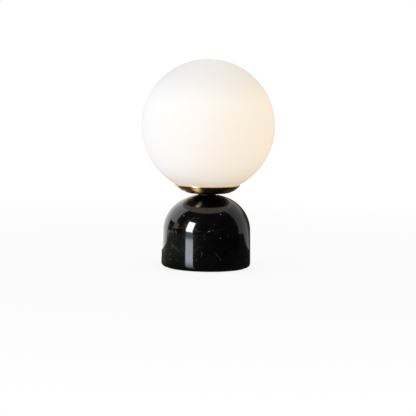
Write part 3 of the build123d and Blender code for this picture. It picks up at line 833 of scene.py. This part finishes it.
# The cap with a rolled thread. Its outer radius is the CAD cap's, less a rounded groove that winds
# round it: depth times half of (1 - cos(turns - height over pitch)), faded in and out at the ends
# of the straight part. The inner skin lies one wall inside, and both close at their ends.
def makeBulbCap(look):
    low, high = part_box("bulb_cap")
    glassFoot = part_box("bulb_glass")[0].z
    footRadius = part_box("bulb_insulator")[1].x
    flareRadius = high.x
    capRadius = footRadius + look["bevel"]
    bevelTop = low.z + capRadius - footRadius
    flareFoot = high.z - 2 * (high.z - glassFoot)
    knots = np.array([
        (footRadius - look["footLip"], low.z), (footRadius, low.z),
        (capRadius, bevelTop), (capRadius, flareFoot),
        (flareRadius, glassFoot), (flareRadius, high.z),
    ])
    lengths = np.r_[0, np.cumsum(np.hypot(*np.diff(knots, axis=0).T))]
    along = np.linspace(0, lengths[-1], look["heightSteps"])
    radius = np.interp(along, lengths, knots[:, 0])[:, None]
    height = np.interp(along, lengths, knots[:, 1])[:, None]
    angle = np.linspace(0, math.tau, look["aroundSteps"], endpoint=False)[None, :]
    fade = np.clip((height - bevelTop) / look["runOut"], 0, 1) * np.clip(
        (flareFoot - height) / look["runOut"], 0, 1
    )
    groove = 0.5 - 0.5 * np.cos(angle - math.tau * height / look["threadPitch"])
    outer = radius - look["threadDepth"] * groove * fade
    inner = np.maximum(outer - look["wall"], look["leastRadius"])
    innerHeight = np.maximum(height, low.z + look["wall"]) + 0 * angle
    innerHeight = np.minimum(innerHeight, high.z)

    def skin(r, z):
        return np.stack([r * np.cos(angle), r * np.sin(angle), z + 0 * angle], axis=-1)

    points = np.concatenate([skin(outer, height), skin(inner, innerHeight)[::-1]])
    return ringMesh("bulb_cap_threaded", points)


def makeCapMetal(look):
    material, tree, surface = newFinish("nickel plated cap", Metallic=1.0)
    place = objectPlace(tree)
    grain = useGroup(tree, fineGrain, Place=place, Size=look["grain"])
    haze = handled(tree, place, "cap")
    colour = mixColour(tree, haze, look["bright"], look["dull"])
    uneven = calc(tree, "MULTIPLY_ADD", haze, look["spread"], look["roughness"])
    plug(tree, surface, {"Base Color": colour, "Roughness": uneven})
    setBump(tree, surface, grain["Height"], look["depth"])
    return material


bulbCap = makeBulbCap(capLook)
bulbCap.data.materials.append(makeCapMetal(capLook))
bulbCap.data.polygons.foreach_set("use_smooth", [True] * len(bulbCap.data.polygons))
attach(bulbCap, "bulb")
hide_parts("bulb_cap")
print("bulb finished")


# Floor, surroundings and light. The floor is pale and keeps the lamp's shadow. The gloss of stone
# and brass shows cards that stand round the lamp like a room: a dark table, darkness on the
# camera's side, a window and its light on the table, and walls at the sides and behind.

stageLook = {
    "floorColour": shade(238, 238, 238), "floorRadius": 9.0, "floorSteps": 96,
    "floorDrop": 0.6 * mm,
    "floorGlow": (0.88, 1.0), "fade": (0.2, 1.1), "worldFill": 0.735,
    "worldColour": (1.0, 1.0, 1.0, 1.0), "white": (1.0, 1.0, 1.0, 1.0),
}


def makeBackgroundShare(tree):
    path = addNode(tree, "LightPath").outputs
    seen = calc(tree, "MAXIMUM", path["Is Camera Ray"], path["Is Glossy Ray"])
    return calc(tree, "MAXIMUM", seen, path["Is Transmission Ray"])


def makeFloor(look):
    steps = look["floorSteps"]
    angle = np.linspace(0, math.tau, steps, endpoint=False)
    points = np.stack([np.cos(angle), np.sin(angle), 0 * angle], axis=-1) * look["floorRadius"]
    points[:, 2] = -look["floorDrop"]
    mesh = bpy.data.meshes.new("floor")
    mesh.from_pydata(points.tolist(), [], [tuple(range(steps))])
    floor = bpy.data.objects.new("floor", mesh)
    scene.collection.objects.link(floor)
    material = bpy.data.materials.new("pale floor")
    material.use_nodes = True
    tree = material.node_tree
    tree.nodes.clear()
    paint = addNode(tree, "BsdfDiffuse", {"Color": look["floorColour"]}).outputs[0]
    white = addNode(tree, "Emission", {"Color": look["white"], "Strength": 1.0}).outputs[0]
    away = vectorCalc(tree, "LENGTH", objectPlace(tree), output="Value")
    glow = span(tree, away, *look["fade"], *look["floorGlow"])
    share = calc(tree, "MULTIPLY", makeBackgroundShare(tree), glow)
    mixed = addNode(tree, "MixShader", {0: share, 1: paint, 2: white}).outputs[0]
    addNode(tree, "OutputMaterial", {"Surface": mixed})
    mesh.materials.append(material)


def makeWorld(look):
    world = bpy.data.worlds.new("studio")
    world.use_nodes = True
    scene.world = world
    tree = world.node_tree
    tree.nodes.clear()
    fillLevels = {"Color": look["worldColour"], "Strength": look["worldFill"]}
    fill = addNode(tree, "Background", fillLevels).outputs[0]
    white = addNode(tree, "Background", {"Color": look["white"], "Strength": 1.0}).outputs[0]
    share = makeBackgroundShare(tree)
    mixed = addNode(tree, "MixShader", {0: share, 1: fill, 2: white}).outputs[0]
    addNode(tree, "OutputWorld", {"Surface": mixed})


makeFloor(stageLook)
makeWorld(stageLook)


# A card that only gloss sees. Its brightness may change over its own coordinates: from a first to
# a second share as the distance from the lamp's foot, or a place along x, goes from low to high.
def makeCard(name, points, faces, colour, strength=1.0, changes=()):
    mesh = bpy.data.meshes.new(name)
    mesh.from_pydata([tuple(point) for point in points], [], faces)
    card = bpy.data.objects.new(name, mesh)
    scene.collection.objects.link(card)
    material = bpy.data.materials.new(name)
    material.use_nodes = True
    tree = material.node_tree
    tree.nodes.clear()
    glow = addNode(tree, "Emission", {"Color": colour, "Strength": strength})
    if changes:
        place = objectPlace(tree)
        across = axesOf(tree, place)["X"]
        away = vectorCalc(tree, "LENGTH", place, output="Value")
        level = strength
        for kind, low, high, first, second in changes:
            value = across if kind == "across" else away
            level = calc(tree, "MULTIPLY", span(tree, value, low, high, first, second), level)
        tree.links.new(level, glow.inputs["Strength"])
    addNode(tree, "OutputMaterial", {"Surface": glow.outputs[0]})
    mesh.materials.append(material)
    card.visible_camera = False
    card.visible_diffuse = False
    card.visible_transmission = False
    card.visible_shadow = False
    card.visible_volume_scatter = False
    return card


# a direction from the lamp: bearing in degrees round from the front, plus to the right
def outward(bearing, elevation=0.0):
    b, e = math.radians(bearing), math.radians(elevation)
    return Vector((math.sin(b) * math.cos(e), -math.cos(b) * math.cos(e), math.sin(e)))


wallSteps = 40
wallFoot = -0.4 * mm


# an upright wall on a circle round the lamp, with a floor in front of it, and a ceiling if capped
def makeCurvedCard(name, bearings, top, radius, colour, capped=False, foot=wallFoot):
    steps = wallSteps
    rim = [outward(b) * radius for b in np.linspace(*bearings, steps)]
    points = [p + Vector((0, 0, foot)) for p in rim] + [p + Vector((0, 0, top)) for p in rim]
    points.append(Vector((0, 0, foot)))
    faces = [(i, i + 1, steps + i + 1, steps + i) for i in range(steps - 1)]
    faces += [(i, i + 1, 2 * steps) for i in range(steps - 1)]
    if capped:
        faces.append(tuple(range(steps, 2 * steps)))
    return makeCard(name, points, faces, colour)


room = {
    "dark": (0.024, 0.026, 0.026, 1.0),
    "table": (0.032, 0.030, 0.028, 1.0),
    "leftWall": (1.55, 1.55, 1.56, 1.0),
    "rightWall": (0.48, 0.48, 0.50, 1.0),
    "brownCorner": (0.075, 0.060, 0.038, 1.0),
    "wallRadius": 1.7, "wallTop": 2.6, "behindRadius": 1.75,
    "frontLeft": -93.0, "frontRight": 92.0, "leftWallStart": -176.0,
    "cabinetEdge": -120.0, "cabinetTop": 0.56,
    "cornerStart": 139.0, "cornerEnd": 178.0, "cornerTop": 0.5, "cornerRadius": 1.66,
    "cornerFoot": -0.35 * mm,
    "tableX": (-0.9, 0.62), "tableY": (-2.2, 0.19), "tableFoot": -0.3 * mm,
    "tableChanges": [("across", -0.3, 0.05, 4.0, 1.0), ("across", 0.05, 0.25, 1.0, 0.3)],
}
wallTop, wallRadius = room["wallTop"], room["wallRadius"]
front = (room["frontLeft"], room["frontRight"])
makeCurvedCard("dark room", front, wallTop, wallRadius, room["dark"], True)
cabinetSpan = (room["cabinetEdge"], room["frontLeft"])
makeCurvedCard("cabinet", cabinetSpan, room["cabinetTop"], wallRadius, room["dark"])
leftSpan = (room["leftWallStart"], room["frontLeft"])
leftWall = makeCurvedCard(
    "left wall", leftSpan, wallTop, room["behindRadius"], room["leftWall"], True
)
rightSpan = (room["frontRight"], room["cornerEnd"])
makeCurvedCard("right wall", rightSpan, wallTop, wallRadius, room["rightWall"])
makeCurvedCard(
    "brown corner", (room["cornerStart"], room["cornerEnd"]), room["cornerTop"],
    room["cornerRadius"], room["brownCorner"], foot=room["cornerFoot"],
)
(tableLeft, tableRight), (tableFront, tableBack) = room["tableX"], room["tableY"]
tableCorners = [
    (tableLeft, tableFront), (tableRight, tableFront),
    (tableRight, tableBack), (tableLeft, tableBack),
]
makeCard(
    "table", [(*corner, room["tableFoot"]) for corner in tableCorners], [(0, 1, 2, 3)],
    room["table"], changes=room["tableChanges"],
)

# The window stands left of the camera. Its light lies on the table from the stone outwards and
# ends in a dimmer sill under the window.
window = {
    "from": Vector((-21 * mm, -54 * mm, 60 * mm)),
    "corners": [(-53.0, 32.3), (-31.8, 30.6), (-37.0, 0.5), (-55.5, 2.8)],
    "distance": 1.4,
    "colour": (0.96, 0.97, 1.0, 1.0), "strength": 24.0,
    "patchLeft": ((-29.4 * mm, -60 * mm), (-478 * mm, -368 * mm)),
    "patchRight": ((-16.4 * mm, -62 * mm), (-346 * mm, -534 * mm)),
    "patchReach": 1.4, "patchFoot": -0.1 * mm,
    "patchColour": (0.85, 0.93, 1.0, 1.0), "patchStrength": 7.4,
    "patchChanges": [("away", 0.08, 0.24, 0.10, 1.0), ("away", 0.565, 0.605, 1.0, 0.15)],
}
windowCorners = [
    window["from"] + outward(*corner) * window["distance"] for corner in window["corners"]
]
windowCard = makeCard("window", windowCorners, [(0, 1, 2, 3)], window["colour"], window["strength"])
nearLeft, farLeft = [Vector((*point, window["patchFoot"])) for point in window["patchLeft"]]
nearRight, farRight = [Vector((*point, window["patchFoot"])) for point in window["patchRight"]]
endLeft = nearLeft + (farLeft - nearLeft).normalized() * window["patchReach"]
endRight = nearRight + (farRight - nearRight).normalized() * window["patchReach"]
tableLight = makeCard(
    "light on table", [nearLeft, nearRight, endRight, endLeft, windowCorners[2], windowCorners[3]],
    [(0, 1, 2, 3), (3, 2, 4, 5)], window["patchColour"], window["patchStrength"],
    window["patchChanges"],
)

# The bright cards would drown the outline of the pale globe in gloss, so its glass leaves them out.
glassAlone = bpy.data.collections.new("left out by bright cards")
glassAlone.objects.link(nodes["globe_glass"])
glassAlone.collection_objects[0].light_linking.link_state = "EXCLUDE"
for card in (leftWall, windowCard, tableLight):
    card.light_linking.receiver_collection = glassAlone


# soft lamps that light the surfaces themselves
lamps = {
    "window side": dict(
        bearing=-50, elevation=28, distance=1.5, size=0.9, power=1.84, colour=(0.93, 0.97, 1.0)
    ),
    "camera side": dict(
        bearing=25, elevation=35, distance=1.9, size=1.2, power=1.19, colour=(1.0, 0.98, 0.95)
    ),
    "overhead": dict(
        bearing=160, elevation=75, distance=1.6, size=1.2, power=0.6, colour=(1.0, 1.0, 1.0)
    ),
}
lampAim = Vector((0, 0, 0.15))
for lampName, lamp in lamps.items():
    lampData = bpy.data.lights.new(lampName, "AREA")
    lampData.shape = "DISK"
    lampData.size = lamp["size"]
    lampData.energy = lamp["power"]
    lampData.color = lamp["colour"]
    lampObject = bpy.data.objects.new(lampName, lampData)
    scene.collection.objects.link(lampObject)
    direction = outward(lamp["bearing"], lamp["elevation"])
    lampObject.location = lampAim + direction * lamp["distance"]
    lampObject.rotation_euler = direction.to_track_quat("Z", "Y").to_euler()
    lampObject.visible_glossy = False

scene.view_settings.view_transform = "Standard"
print("stage lit")
